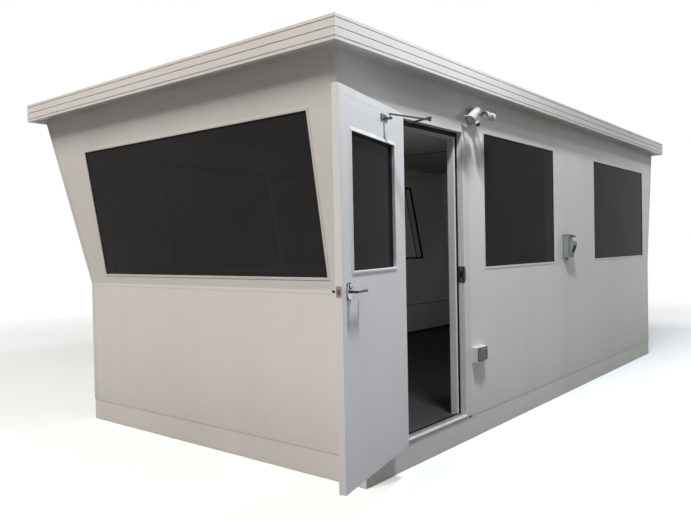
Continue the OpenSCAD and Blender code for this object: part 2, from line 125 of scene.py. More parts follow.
class Recipe:  # one node tree in the making
    def __init__(self, tree):
        self.tree = tree

    def node(self, kind, settings=None, inputs=None, output=0):
        made = self.tree.nodes.new(kind)
        for setting, value in (settings or {}).items():
            setattr(made, setting, value)
        for name, value in (inputs or {}).items():
            self.feed(made.inputs[name], value)
        if made.outputs:  # an output node has none
            return Wire(self, made.outputs[output])

    def feed(self, socket, value):
        if isinstance(value, Wire):
            self.tree.links.new(value.socket, socket)
        else:
            socket.default_value = value

    def place(self, stretch=(1, 1, 1)):  # row metres, stretched
        where = self.node("ShaderNodeTexCoord", output="Object")
        return self.node("ShaderNodeVectorMath", {"operation": "MULTIPLY"}, {0: where, 1: stretch})

    def noise(self, scale, detail=3, stretch=(1, 1, 1), roughness=0.5):
        return self.node(
            "ShaderNodeTexNoise", None,
            {"Vector": self.place(stretch), "Scale": scale, "Detail": detail, "Roughness": roughness},
        )

    def ramp(self, factor, low, high, start=0.0, end=1.0):  # factor from low to high becomes start to end
        return self.node(
            "ShaderNodeMapRange", None,
            {"Value": factor, "From Min": low, "From Max": high, "To Min": start, "To Max": end},
        )

    def mixed(self, factor, first, second):
        return self.node("ShaderNodeMix", {"data_type": "RGBA"}, {0: factor, 6: first, 7: second}, output=2)

    def height(self):
        return self.node("ShaderNodeSeparateXYZ", None, {0: self.place()}, output=2)

    def cells(self, scale, randomness):  # the distance to the nearest of scattered points
        return self.node(
            "ShaderNodeTexVoronoi", None, {"Vector": self.place(), "Scale": scale, "Randomness": randomness},
        )

    def bump(self, height, distance, normal=None):
        inputs = {"Height": height, "Distance": distance}
        if normal:
            inputs["Normal"] = normal
        return self.node("ShaderNodeBump", None, inputs)


class Finish(Recipe):  # a material with one Principled shader
    def __init__(self, name, look):
        self.material = bpy.data.materials.new(name)
        self.material.use_nodes = True
        super().__init__(self.material.node_tree)
        self.shader = self.tree.nodes["Principled BSDF"]
        self.show(look)

    def show(self, look):  # values or wires by socket name
        for name, value in look.items():
            self.feed(self.shader.inputs[name], value)
        return self.material


def tone(red, green, blue):  # a colour from display values 0 to 255
    def linear(value):
        value /= 255
        return value / 12.92 if value <= 0.04045 else ((value + 0.055) / 1.055) ** 2.4
    return (linear(red), linear(green), linear(blue), 1.0)


# Painted sheet: cloudy tone, faint runs, dust and painted shade darkening it towards the ground, and the
# slow waves of flat sheet

panelLook = {
    "paint": tone(221, 222, 221),
    "aged": tone(216, 216, 214),
    "clouds": 0.8,  # scales of the noises
    "runs": 5.0,
    "grit": 38,
    "wear": (0.4, 0.62),  # the noise values between which the paint goes from new to aged
    # the colour of the dust and painted shade on the lower wall
    "dust": tone(150, 148, 145),
    "dustTop": 0.9,  # metres
    "dusty": 0.7,  # how much dust and painted shade there is at the ground
    "speckle": (-0.3, 1.2),  # the noise values between which it goes from none to all
    "gloss": 0.42,
    "waves": (1.7, 0.0009),  # scale and height
    "peel": (420, 0.00004),
}
foldedLook = {**panelLook, "waves": (1.7, 0.0002), "gloss": 0.36}  # narrow sheet is flatter
paintLooks = {
    "panel_white": panelLook,
    # the leaf: the panels' paint made bluer and lighter to paint the cool light on it, darkened low down by
    # dust and painted shade
    "leaf_white": {**panelLook, "paint": tone(226, 227, 232), "aged": tone(221, 222, 226),
                   "dust": tone(140, 141, 147), "dustTop": 1.3, "dusty": 0.68, "speckle": (-1.0, 1.6)},
    "base_paint": {**panelLook, "paint": tone(214, 214, 213), "aged": tone(208, 207, 205), "gloss": 0.5,
                   "dustTop": 0.25, "dusty": 0.08},
    "roof_white": {**panelLook, "paint": tone(196, 196, 193), "aged": tone(176, 175, 170), "gloss": 0.55},
    "trim_white": {**foldedLook, "paint": tone(214, 214, 213), "aged": tone(209, 208, 206)},
    # the long fascia: a darker copy of the trim paint, painted shade
    "fascia_white": {**foldedLook, "paint": tone(208, 208, 207), "aged": tone(203, 202, 200)},
    "bead_white": {**foldedLook, "paint": tone(240, 241, 242), "aged": tone(235, 235, 234), "gloss": 0.34},
}


def paintedSheet(name, settings):
    finish = Finish(name, {"IOR": 1.5, "Specular IOR Level": 0.22})
    clouds = finish.noise(settings["clouds"], 4)
    runs = finish.noise(settings["runs"], 3, (1, 1, 0.06))
    grit = finish.noise(settings["grit"], 5, roughness=0.7)
    # darker towards the ground: dust, with painted shade on the lower wall and leaf
    near = 1 - finish.ramp(finish.height(), 0.0, settings["dustTop"])
    dust = near * near * finish.ramp(grit, *settings["speckle"]) * settings["dusty"]
    wear = finish.ramp(clouds * 0.65 + runs * 0.35, *settings["wear"])
    colour = finish.mixed(wear, settings["paint"], settings["aged"])
    colour = finish.mixed(dust, colour, settings["dust"])
    rough = settings["gloss"] + wear * 0.06 + dust * 0.3
    waveScale, waveHeight = settings["waves"]
    peelScale, peelHeight = settings["peel"]
    waves = finish.bump(finish.noise(waveScale, 1, (1, 1, 0.7)), waveHeight)
    peel = finish.bump(finish.noise(peelScale, 1), peelHeight, waves)
    return finish.show({"Base Color": colour, "Roughness": rough, "Normal": peel})


# Tinted glass with a thin film of dust and painted sheen, lighter patches that stand in for faint
# reflections

paneLook = {
    "tint": tone(41, 42, 44),
    "film": tone(104, 105, 105),
    "filmed": 0.16,  # how much of the dust and painted sheen shows at most
    "smears": 2.2,
    "grit": 55,
    "alpha": 0.8,
    "specular": 0.03,
}
# the panes are one glass; their tints differ to paint the reflections and shade that each pane shows
glassLooks = {
    "dark_glass": paneLook,
    "leaf_glass": {**paneLook, "tint": tone(35, 35, 37), "alpha": 0.965, "specular": 0.015},
    "front_glass": {**paneLook, "tint": tone(32, 33, 34), "alpha": 0.84, "specular": 0.018},
    "end_glass": {**paneLook, "tint": tone(50, 50, 51)},
}


def tintedGlass(name, settings):
    finish = Finish(name, {
        "Alpha": settings["alpha"], "IOR": 1.5, "Specular IOR Level": settings["specular"],
    })
    # smears and grit make the film of dust and painted sheen
    smears = finish.ramp(finish.noise(settings["smears"], 5, (1, 1, 0.5), 0.6), 0.42, 0.8)
    grit = finish.ramp(finish.noise(settings["grit"], 4, roughness=0.75), 0.3, 0.7)
    film = smears * grit * settings["filmed"]
    colour = finish.mixed(film, settings["tint"], settings["film"])
    return finish.show({"Base Color": colour, "Roughness": 0.03 + film * 0.5})


# Sheet vinyl: charcoal with small flecks and trodden dust

vinylLook = {
    "ground": tone(56, 56, 57),
    "fleck": tone(88, 87, 86),
    "dust": tone(84, 82, 78),
    "flecks": 95,
    "trodden": (1.6, 0.35),  # scale and how much of it there is
}


def sheetVinyl(name, settings):
    finish = Finish(name, {"Specular IOR Level": 0.35})
    fleck = finish.ramp(finish.cells(settings["flecks"], 1.0), 0.28, 0.12)
    scale, much = settings["trodden"]
    trodden = finish.ramp(finish.noise(scale, 5, roughness=0.65), 0.48, 0.75) * much
    colour = finish.mixed(fleck * 0.5, settings["ground"], settings["fleck"])
    colour = finish.mixed(trodden, colour, settings["dust"])
    bumps = finish.bump(finish.noise(310, 2), 0.0002)
    return finish.show({"Base Color": colour, "Roughness": 0.55 + trodden * 0.3, "Normal": bumps})


# Metals and mouldings, by colour, gloss, grain and how the grain is stretched

mouldedLook = {
    "spread": 0.14, "grain": 480, "stretch": (1, 1, 1), "depth": 0.00004, "metal": 0.0, "specular": 0.5,
}
metalLook = {**mouldedLook, "spread": 0.2, "grain": 180, "depth": 0.00002, "metal": 1.0}
fineLooks = {
    "bright_metal": {
        **metalLook, "main": tone(190, 192, 194), "worn": tone(156, 157, 159), "rough": 0.38, "spread": 0.16,
        "grain": 160, "stretch": (0.05, 1, 1), "depth": 0.00004,
    },
    "steel_satin": {
        **metalLook, "main": tone(197, 199, 202), "worn": tone(168, 169, 171), "rough": 0.24, "spread": 0.14,
        "grain": 220, "stretch": (1, 1, 0.08),
    },
    "latch_brass": {**metalLook, "main": tone(142, 124, 116), "worn": tone(106, 90, 82), "rough": 0.34},
    "latch_dark": {**metalLook, "main": tone(92, 62, 50), "worn": tone(60, 44, 38), "rough": 0.3},
    # the lever: black that paints the dark reflection in its polished metal; its top carries a painted
    # highlight
    "lever_black": {
        **metalLook, "main": tone(24, 23, 24), "worn": tone(44, 43, 43), "rough": 0.26, "spread": 0.16,
        "metal": 0.3,
    },
    "dark_metal": {
        **metalLook, "main": tone(58, 59, 62), "worn": tone(84, 84, 86), "rough": 0.34, "grain": 130,
        "depth": 0.00003, "metal": 0.35,
    },
    "black_rubber": {
        **mouldedLook, "main": tone(9, 9, 10), "worn": tone(20, 20, 20), "rough": 0.66, "spread": 0.2,
        "grain": 240, "depth": 0.00006, "specular": 0.15,
    },
    "grey_plastic": {
        **mouldedLook, "main": tone(128, 134, 135), "worn": tone(112, 118, 118), "rough": 0.46, "grain": 520,
    },
    # the lid's top slope: a paler copy of the grey plastic, a painted highlight
    "inlet_pale": {
        **mouldedLook, "main": tone(176, 181, 181), "worn": tone(158, 162, 162), "rough": 0.4, "grain": 520,
    },
    "lid_grey": {
        **mouldedLook, "main": tone(60, 66, 67), "worn": tone(48, 52, 53), "rough": 0.4, "spread": 0.16,
    },
    "dark_plastic": {
        **mouldedLook, "main": tone(38, 40, 42), "worn": tone(60, 61, 62), "rough": 0.42, "spread": 0.16,
    },
    "white_plastic": {
        **mouldedLook, "main": tone(202, 203, 204), "worn": tone(193, 192, 188), "rough": 0.36,
        "depth": 0.00002,
    },
    # the lamp's housing: a darker copy of the white plastic, painted shade against the strong light on it
    "lamp_white": {
        **mouldedLook, "main": tone(168, 168, 166), "worn": tone(158, 157, 152), "rough": 0.52,
        "depth": 0.00002, "specular": 0.35,
    },
}


def fineSurface(name, settings):
    finish = Finish(name, {"Metallic": settings["metal"], "Specular IOR Level": settings["specular"]})
    patch = finish.ramp(finish.noise(9, 4, roughness=0.6), 0.35, 0.7)
    grain = finish.noise(settings["grain"], 3, settings["stretch"])
    return finish.show({
        "Base Color": finish.mixed(patch * 0.6, settings["main"], settings["worn"]),
        "Roughness": settings["rough"] + settings["spread"] * (patch * 0.5 + grain * 0.5),
        "Normal": finish.bump(grain, settings["depth"]),
    })


# Lamp lens: cool grey glass with small dimples in rows

# the left head's lens is pale to paint light into its shaded face; the right's is darkened to paint shade
lensLooks = {
    "lens": {"main": tone(240, 240, 240), "deep": tone(218, 219, 220), "dimples": 210},
    "dark_lens": {"main": tone(186, 187, 189), "deep": tone(132, 134, 137), "dimples": 150},
}


def lampLens(name, settings):
    finish = Finish(name, {"Roughness": 0.12, "IOR": 1.45})
    dimple = finish.ramp(finish.cells(settings["dimples"], 0.15), 0.0, 0.6)
    colour = finish.mixed(dimple, settings["main"], settings["deep"])
    return finish.show({"Base Color": colour, "Normal": finish.bump(dimple, 0.0006)})


finishes = {
    slot: make(slot, look)
    for make, looks in (
        (paintedSheet, paintLooks), (tintedGlass, glassLooks), (sheetVinyl, {"floor_vinyl": vinylLook}),
        (fineSurface, fineLooks), (lampLens, lensLooks),
    )
    for slot, look in looks.items()
}
print("finishes made:", len(finishes))

# Meshes

slotOf = {part["node"]: part["material_slot"] for part in frame["record"]["subparts"]}
bodyOf = {node: body for body, nodes in frame["record"]["behaviour"]["bodies"].items() for node in nodes}
jointOf = {joint["child"]: joint for joint in frame["record"]["behaviour"]["joints"]}
flatAngle = math.radians(35)  # faces that meet at more than this have an edge between them


def turns(steps):  # angles evenly round a circle
    return [2 * math.pi * i / steps for i in range(steps)]


class Shape:  # a mesh in the making, in row metres
    def __init__(self):
        self.mesh = bmesh.new()

    def skin(self, rows, closed=False):  # quads between rows of points, each row a loop
        made = [[self.mesh.verts.new(p) for p in row] for row in rows]
        pairs = list(zip(made, made[1:] + made[:1])) if closed else list(zip(made, made[1:]))
        for low, high in pairs:
            for i in range(len(low)):
                j = (i + 1) % len(low)
                self.mesh.faces.new((low[i], low[j], high[j], high[i]))
        if not closed:
            self.mesh.faces.new(made[0])
            self.mesh.faces.new(made[-1])

    def box(self, low, high, place=Matrix()):
        (left, near, foot), (right, far, head) = low, high
        self.prism([(left, near), (right, near), (right, far), (left, far)], foot, head, place)

    def ends(self, x, thick, front, back, low, high):  # a band along X = x and another along X = -x
        for sx in (-1, 1):
            near, far = sorted((sx * x, sx * (x + thick)))
            self.box((near, front, low), (far, back, high))

    def prism(self, outline, low, high, place=Matrix()):  # an XY outline run along Z
        self.skin([[place @ Vector((x, y, z)) for x, y in outline] for z in (low, high)])

    def ring(self, place, width, height, profile):  # a mitred frame: the profile is (inward, out) points
        rows = []
        for inward, out in profile:
            far, top = width - inward, height - inward
            rows.append([
                place @ Vector((x, y, out))
                for x, y in ((inward, inward), (far, inward), (far, top), (inward, top))
            ])
        self.skin(rows, True)

    def arch(self, place, width, height, profile):  # the same up one side, over the head and down the other
        self.skin([
            [place @ Vector((side + sign * inward, (height - inward) * top, out)) for inward, out in profile]
            for side, sign, top in ((0, 1, 0), (0, 1, 1), (width, -1, 1), (width, -1, 0))
        ])

    def lathe(self, place, profile, steps=32, closed=False):  # (radius, height) points turned about Z
        self.skin([
            [place @ Vector((r * math.cos(a), r * math.sin(a), z)) for a in turns(steps)] for r, z in profile
        ], closed)

    def screw(self, place, radius):  # a pan head with a socket
        self.lathe(place, [
            (radius, 0), (radius, radius * 0.25), (radius * 0.75, radius * 0.55),
            (radius * 0.4, radius * 0.62), (radius * 0.38, radius * 0.3), (radius * 0.1, radius * 0.3),
        ], 12)

    def piece(self, name, body, slotName, finish=None, soft=0.0):
        bmesh.ops.recalc_face_normals(self.mesh, faces=self.mesh.faces)
        data = bpy.data.meshes.new(name)
        self.mesh.to_mesh(data)
        self.mesh.free()
        return dressed(name, data, body, slotName, finish, soft)


def oval(half, tall, steps, power=1.0):  # an outline, squarer as the power falls
    def reach(value):
        return math.copysign(abs(value) ** power, value)
    return [(half * reach(math.cos(a)), tall * reach(math.sin(a))) for a in turns(steps)]


def dressed(name, data, body, slotName, finish=None, soft=0.0):
    data.materials.clear()
    data.materials.append(finishes[finish or slotName])
    made = bpy.data.objects.new(name, data)
    bpy.context.scene.collection.objects.link(made)
    data.shade_smooth()
    if soft:
        bevel = made.modifiers.new("softEdges", "BEVEL")
        bevel.width, bevel.segments = soft, 2
        bevel.limit_method, bevel.angle_limit = "ANGLE", flatAngle
        made.modifiers.new("flatShading", "WEIGHTED_NORMAL").weight = 60
    else:
        data.set_sharp_from_angle(angle=flatAngle)
    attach(made, body)
    return made


def merged(node):  # a node's mesh without the lines across its flat faces
    mesh = bmesh.new()
    mesh.from_mesh(frame["nodes"][node].data)
    bmesh.ops.remove_doubles(mesh, verts=mesh.verts, dist=0.00002)
    bmesh.ops.dissolve_limit(mesh, angle_limit=math.radians(0.5), verts=mesh.verts, edges=mesh.edges)
    return mesh


def softened(node, soft, finish=None, highlightFrom=None):  # the CAD shape with its edges rounded
    mesh = merged(node)
    if highlightFrom:  # the height above which the slot's own bright finish paints a highlight
        everything = mesh.verts[:] + mesh.edges[:] + mesh.faces[:]
        bmesh.ops.bisect_plane(mesh, geom=everything, plane_co=(0, 0, highlightFrom), plane_no=(0, 0, 1))
    data = frame["nodes"][node].data.copy()
    mesh.to_mesh(data)
    mesh.free()
    made = dressed(node + ".soft", data, bodyOf[node], slotOf[node], finish, soft)
    # the faces above that height take the slot's bright finish, a painted highlight
    if highlightFrom:
        data.materials.append(finishes[slotOf[node]])
        for face in data.polygons:
            face.material_index = 1 if face.center.z > highlightFrom else 0
    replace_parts(made, node)


# CAD nodes as they are, with their finish

otherFinish = {  # where a piece differs from its slot
    "front_window_glass": "front_glass", "end_window_glass": "end_glass",
    "door_leaf": "leaf_white", "door_glass": "leaf_glass", "door_lever": "lever_black",
    "roof_fascia_long": "fascia_white", "socket_insert": "lid_grey",
    "spot_light_base": "lamp_white", "spot_head_left": "lamp_white", "spot_head_right": "lamp_white",
}
for node, part in frame["nodes"].items():
    part.data.materials.clear()
    part.data.materials.append(finishes[otherFinish.get(node, slotOf[node])])
print("finishes on the frame")

# CAD shapes with rounded edges, by the radius in metres

softEdges = {
    "base_long_rails": 0.003, "base_end_rails": 0.003, "corner_flashings": 0.0006,
    "roof_fascia_long": 0.0006, "roof_fascia_ends": 0.0006,
    "front_window_frames": 0.001, "back_window_frames": 0.001, "end_window_frames": 0.001,
    "door_frame": 0.001, "door_sill": 0.0015, "door_keeper": 0.0006, "door_leaf": 0.0015,
    "hinge_frame_plates": 0.0005, "hinge_leaf_plates": 0.0005,
    "door_lock": 0.0012, "door_lever": 0.0025,
    "closer_body": 0.004, "closer_arm": 0.0012, "closer_forearm": 0.0012, "closer_shoe": 0.0012,
    "spot_light_base": 0.004, "inlet_box": 0.006, "inlet_flap": 0.002,
    "socket_box": 0.004, "socket_insert": 0.006,
}
highlightHeights = {"door_lever": jointOf["lever"]["pos_m"][2] + 0.0036}  # the lever's top in the slot's bright finish: a painted highlight
for node, radius in softEdges.items():
    softened(node, radius, otherFinish.get(node), highlightHeights.get(node))
print("edges rounded:", len(softEdges))

# Measuring the frame

middle = (cadLow + cadHigh) / 2
pivotOf = {body: Vector(joint["pos_m"]) for body, joint in jointOf.items()}
hingePlace = Matrix.Translation((pivotOf["door"].x, pivotOf["door"].y, 0))
doorPlace = hingePlace @ Matrix.Rotation(-math.radians(jointOf["door"]["range_deg"][1]), 4, "Z")


def shifted(place, x, y, z):
    return place @ Matrix.Translation((x, y, z))


def corners(node, place):  # the lowest and highest corners of a node, seen from a place
    back = place.inverted()
    points = [back @ vert.co for vert in frame["nodes"][node].data.vertices]
    return [Vector([pick(point[i] for point in points) for i in range(3)]) for pick in (min, max)]


def facing(corner, across, up, place=Matrix()):  # X across, Y up and Z out of a face
    across, up = Vector(across), Vector(up)
    turn = Matrix((across, up, across.cross(up))).transposed().to_4x4()
    return place @ Matrix.Translation(corner) @ turn


def onFront(corner, place=Matrix()):  # X across, Y up and Z out of a face towards -Y
    return facing(corner, (1, 0, 0), (0, 0, 1), place)


def onBack(corner, place=Matrix()):
    return facing(corner, (-1, 0, 0), (0, 0, 1), place)


def solids(node):  # each separate solid's points and the direction of its largest face
    mesh = merged(node)
    found, seen = [], set()
    for start in mesh.verts:
        if start in seen:
            continue
        group, queue = [], [start]
        while queue:
            vert = queue.pop()
            if vert not in seen:
                seen.add(vert)
                group.append(vert)
                queue.extend(edge.other_vert(vert) for edge in vert.link_edges)
        broad = max((face for vert in group for face in vert.link_faces), key=lambda face: face.calc_area())
        found.append(([vert.co.copy() for vert in group], broad.normal.copy()))
    mesh.free()
    return found


def panes(node):  # each pane's place at the lower corner of its outer face, its width, height and thickness
    found = []
    for points, out in solids(node):
        if out.dot(points[0] - middle) < 0:
            out = -out
        up = (Vector((0, 0, 1)) - out * out.z).normalized()
        across = up.cross(out)
        spread = [[point.dot(axis) for axis in (across, up, out)] for point in points]
        low, high = ([pick(row[i] for row in spread) for i in range(3)] for pick in (min, max))
        corner = across * low[0] + up * low[1] + out * high[2]
        found.append((facing(corner, across, up), *(high[i] - low[i] for i in range(3))))
    return found


# Window rubbers: a bead against the glass outside, and round the room's side a black lip and a black lining
# across the reveal that paints the reveal's shade

rubber = {
    "outside": [(0, -0.001), (0, 0.0038), (0.002, 0.0046), (0.005, 0.0036), (0.0075, -0.001)],
    # the black lining across the reveal paints its shade
    "inside": [(0, -0.079), (0.004, -0.081), (0.004, -0.1015), (-0.018, -0.1015), (-0.018, -0.0985),
               (0, -0.0985)],
}
for side in ("front", "back", "end"):
    shape = Shape()
    for place, width, height, thick in panes(side + "_window_glass"):
        for profile in rubber.values():
            shape.ring(place, width, height, profile)
    shape.piece(side + "_window_rubbers", "cabin", "black_rubber")
print("window rubbers made")

# Door window: stepped beads on both faces, a rubber on each side of the glass, and a black lining under its
# head that paints the head's shade

doorWindow = {
    "bead": [(0, 0.0155), (0, 0.0215), (-0.002, 0.023), (-0.009, 0.0225), (-0.0105, 0.0195),
             (-0.019, 0.0185), (-0.021, 0.0165), (-0.021, 0.0155)],
    "rubber": [(0, -0.001), (0, 0.0036), (0.0014, 0.0042), (0.0046, 0.0024), (0.0055, -0.001)],
    "head": (0.0022, 0.0225),  # thickness and reach of the black lining under the window's head, painted shade
}


def otherSide(profile, thick):  # the same profile on the pane's other face
    return [(inward, -thick - out) for inward, out in profile]


beads, rubbers = Shape(), Shape()
place, width, height, thick = panes("door_glass")[0]
for shape, profile in ((beads, doorWindow["bead"]), (rubbers, doorWindow["rubber"])):
    shape.ring(place, width, height, profile)
    shape.ring(place, width, height, otherSide(profile, thick))
# the black lining under the head paints its shade
thin, reach = doorWindow["head"]
rubbers.box((0, height - thin, 0), (width, height, reach), place)
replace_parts(beads.piece("door_window_beads", "door", "trim_white", "bead_white"), "door_window_bead")
rubbers.piece("door_window_rubbers", "door", "black_rubber")
print("door window made")

# Door leaf: thin folded edges on both faces

leafLow, leafHigh = corners("door_leaf", doorPlace)
leafEdge = {"inset": 0.0015, "width": 0.045, "proud": 0.0003, "root": -0.001}
edges = Shape()
for place in (onBack((leafHigh.x, leafHigh.y, leafLow.z), doorPlace), onFront(leafLow, doorPlace)):
    edges.ring(place, leafHigh.x - leafLow.x, leafHigh.z - leafLow.z, [
        (leafEdge["inset"], leafEdge["root"]), (leafEdge["inset"], leafEdge["proud"]),
        (leafEdge["width"], leafEdge["proud"]), (leafEdge["width"] + leafEdge["proud"], leafEdge["root"]),
    ])
edges.piece("leaf_edges", "door", "panel_white", "leaf_white")

# Lock: thumb turn over the lever inside, key cylinder outside with a black keyway that paints the slot's
# shade, washers whose black paints the shadow round the roses and the turn, and the latch in its faceplate

lock = {
    "cylinder": 0.026,  # above the lever
    "knobFoot": [(0.009, -0.001), (0.009, 0.004), (0.0075, 0.006), (0.005, 0.007), (0.005, 0.016),
                 (0.004, 0.017)],
    "knob": (0.0125, 0.0052),  # half its width and height
    "knobReach": (0.016, 0.0275),
    "barrel": [(0.0115, -0.001), (0.0115, 0.005), (0.0095, 0.0065), (0.001, 0.0065)],
    # a black plate in the keyway: painted shade
    "keywayShade": ((-0.0009, -0.0045, 0.0062), (0.0009, 0.0045, 0.0068)),
    # black washers: painted shadow round the roses and the thumb turn
    "shadowWasher": (0.0275, 0.0435),
    "knobShadowWasher": [(0.0155, -0.001), (0.0155, 0.0008), (0.012, 0.001)],
    "roseScrews": (-0.058, 0.006),  # above the cylinder
    "roseScrew": 0.0032,
    "latch": 0.002,  # the faceplate's middle above the lever
    "plate": (0.015, 0.028),  # half its width and height
    "rim": 0.0022,
    "recess": ((-0.0125, -0.025, -0.001), (0.0125, 0.024, 0.0002)),
    "bolt": (0.0105, 0.0012),  # across the leaf, and out of its edge
    "boltEnds": (-0.016, 0.010),
    "plateScrews": (0.0225, -0.0245),
    "plateScrew": 0.0026,
}
lever = doorPlace.inverted() @ pivotOf["lever"]
lockLow, lockHigh = corners("door_lock", doorPlace)
inner = onBack((lever.x, lockHigh.y, lever.z + lock["cylinder"]), doorPlace)
outer = onFront((lever.x, lockLow.y, lever.z + lock["cylinder"]), doorPlace)
knob = Shape()
knob.lathe(inner, lock["knobFoot"], 28)
knob.prism(oval(*lock["knob"], 24), *lock["knobReach"], inner)
knob.piece("thumb_turn", "door", "steel_satin", soft=0.0008)
cylinder = Shape()
cylinder.lathe(outer, lock["barrel"], 28)
cylinder.piece("key_cylinder", "door", "steel_satin", soft=0.0006)
# the keyway's black: painted shade
keywayShade = Shape()
keywayShade.box(*lock["keywayShade"], outer)
keywayShade.piece("key_slot_shade", "door", "black_rubber")
# washers whose black paints shadow round the roses and the turn
shadowWashers = Shape()
for place in (
    onBack((lever.x, leafHigh.y, lever.z), doorPlace), onFront((lever.x, leafLow.y, lever.z), doorPlace),
):
    shadowWashers.prism(oval(*lock["shadowWasher"], 48, 0.5), -0.0005, 0.002, place)
shadowWashers.lathe(inner, lock["knobShadowWasher"], 28)
shadowWashers.piece("lock_shadow_washers", "door", "black_rubber")
screws = Shape()
for face in (inner, outer):
    for up in lock["roseScrews"]:
        screws.screw(shifted(face, 0, up, -0.0004), lock["roseScrew"])
edgeMiddle = (lockHigh.x, (leafLow.y + leafHigh.y) / 2, lever.z + lock["latch"])
edgeFace = facing(edgeMiddle, (0, 1, 0), (0, 0, 1), doorPlace)
half, tall = lock["plate"]
outline = Shape()
outline.ring(shifted(edgeFace, -half, -tall, 0), half * 2, tall * 2,
             [(0, -0.0012), (0, 0.0001), (lock["rim"], 0.0001), (lock["rim"], -0.0012)])
outline.box(*lock["recess"], edgeFace)
outline.piece("latch_outline", "door", "dark_metal", "latch_brass")
bolt = Shape()
wide, proud = lock["bolt"]
bolt.prism([(-wide / 2, 0), (wide / 2, 0), (wide / 2, proud * 0.35), (-wide / 2, proud)], *lock["boltEnds"],
           edgeFace @ Matrix.Rotation(math.pi / 2, 4, "X") @ Matrix.Scale(-1, 4, (0, 0, 1)))
bolt.piece("latch_bolt", "door", "steel_satin", "latch_dark", soft=0.0004)
for up in lock["plateScrews"]:
    screws.screw(shifted(edgeFace, 0, up, -0.0014), lock["plateScrew"])
screws.piece("lock_screws", "door", "steel_satin")
print("door leaf and lock made")

# Closer: screws in the shoe's plate, and the case's end caps

closer = {
    "screw": 0.0038,
    "inset": 0.014,
    "rows": (0.0075, 0.0215),
    "plate": 0.006,  # thickness
    "capDrop": 0.03,
    "cap": [(0.018, -0.002), (0.018, 0.001), (0.015, 0.0025), (0.002, 0.003)],
}
shoeLow, shoeHigh = corners("closer_shoe", doorPlace)
screws = Shape()
for x in (shoeLow.x + closer["inset"], shoeHigh.x - closer["inset"]):
    for up in closer["rows"]:
        place = onBack((x, leafHigh.y + closer["plate"], shoeLow.z + up), doorPlace)
        screws.screw(place, closer["screw"])
screws.piece("closer_shoe_screws", "door", "steel_satin")
caseLow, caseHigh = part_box("closer_body")
caps = Shape()
for x, sign in ((caseLow.x, -1), (caseHigh.x, 1)):
    centre = (x, (caseLow.y + caseHigh.y) / 2, caseHigh.z - closer["capDrop"])
    caps.lathe(facing(centre, (0, -sign, 0), (0, 0, 1)), closer["cap"], 24)
caps.piece("closer_caps", "cabin", "dark_metal", "dark_plastic", soft=0.0005)

# Keeper: the hole for the latch, two screws, and the dark notch at the foot of the flange; the hole and the
# notch are black plates that paint their shade

keeperLow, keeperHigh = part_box("door_keeper")
frameLow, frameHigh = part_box("door_frame")
sillLow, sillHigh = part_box("door_sill")
keeper = {
    "hole": ((-0.008, -0.015, -0.0005), (0.008, 0.015, 0.0004)),
    "back": 0.004,  # from the plate's middle
    "screws": (0.041, -0.041),
    "screw": 0.0045,
    "notch": (-0.042, -0.008),  # from the frame's right edge
}
keeperMiddle = (keeperLow + keeperHigh) / 2
keeperFace = facing((keeperLow.x, keeperMiddle.y + keeper["back"], keeperMiddle.z), (0, -1, 0), (0, 0, 1))
# black plates in the latch's hole and the notch: painted shade
shadeHoles = Shape()
shadeHoles.box(*keeper["hole"], keeperFace)
left, right = keeper["notch"]
shadeHoles.box((frameHigh.x + left, frameLow.y - 0.0006, frameLow.z - 0.002),
          (frameHigh.x + right, frameLow.y + 0.003, frameLow.z + 0.009))
shadeHoles.piece("keeper_hole_shade", "cabin", "black_rubber")
screws = Shape()
for up in keeper["screws"]:
    screws.screw(shifted(keeperFace, 0, up, 0), keeper["screw"])
screws.piece("keeper_screws", "cabin", "steel_satin")

# Doorway: bulb seals and painted covers on the stops, a grey cover under the head that paints the shade
# there, and the sill's ribs and screws

doorway = {
    "bulbs": (0.0065, 0.0155),  # how far in from the rebate's side they stand
    "bulb": (0.0042, 0.0028),  # half a bulb's width, and its height
    "cover": (0.032, 0.045),  # a strip over the seal's carrier, from and to
    "coverRoot": -0.0045,
    "coverProud": 0.0016,
    "headProud": 0.00096,
    "ribs": 4,
    "ribStart": 0.006,
    "ribPitch": 0.0085,
    "rib": (0.003, 0.0009),  # width and height
    "sillScrews": 4,
    "sillMargin": 0.08,
    "sillScrew": 0.0036,
}
gasketLow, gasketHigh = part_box("door_gasket")
gasketPoints = [point for points, out in solids("door_gasket") for point in points]
stopFace = min(point.y for point in gasketPoints if point.z > gasketHigh.z - 0.001)
opening = onFront((gasketLow.x, stopFace, sillHigh.z))
wide, tall = gasketHigh.x - gasketLow.x, gasketHigh.z - sillHigh.z
half, proud = doorway["bulb"]
seal = Shape()
for centre in doorway["bulbs"]:
    seal.arch(opening, wide, tall, [
        (centre + half * math.cos(a), proud * math.sin(a)) for a in (math.pi * i / 6 for i in range(7))
    ])
seal.piece("door_bulb_seal", "cabin", "black_rubber")
near, far = doorway["cover"]
root = doorway["coverRoot"]
covers = Shape()
for x in (near, wide - far):
    covers.box((x, 0.0005, root), (x + far - near, tall - near, doorway["coverProud"]), opening)
covers.piece("stop_covers", "cabin", "trim_white", "bead_white", soft=0.0008)
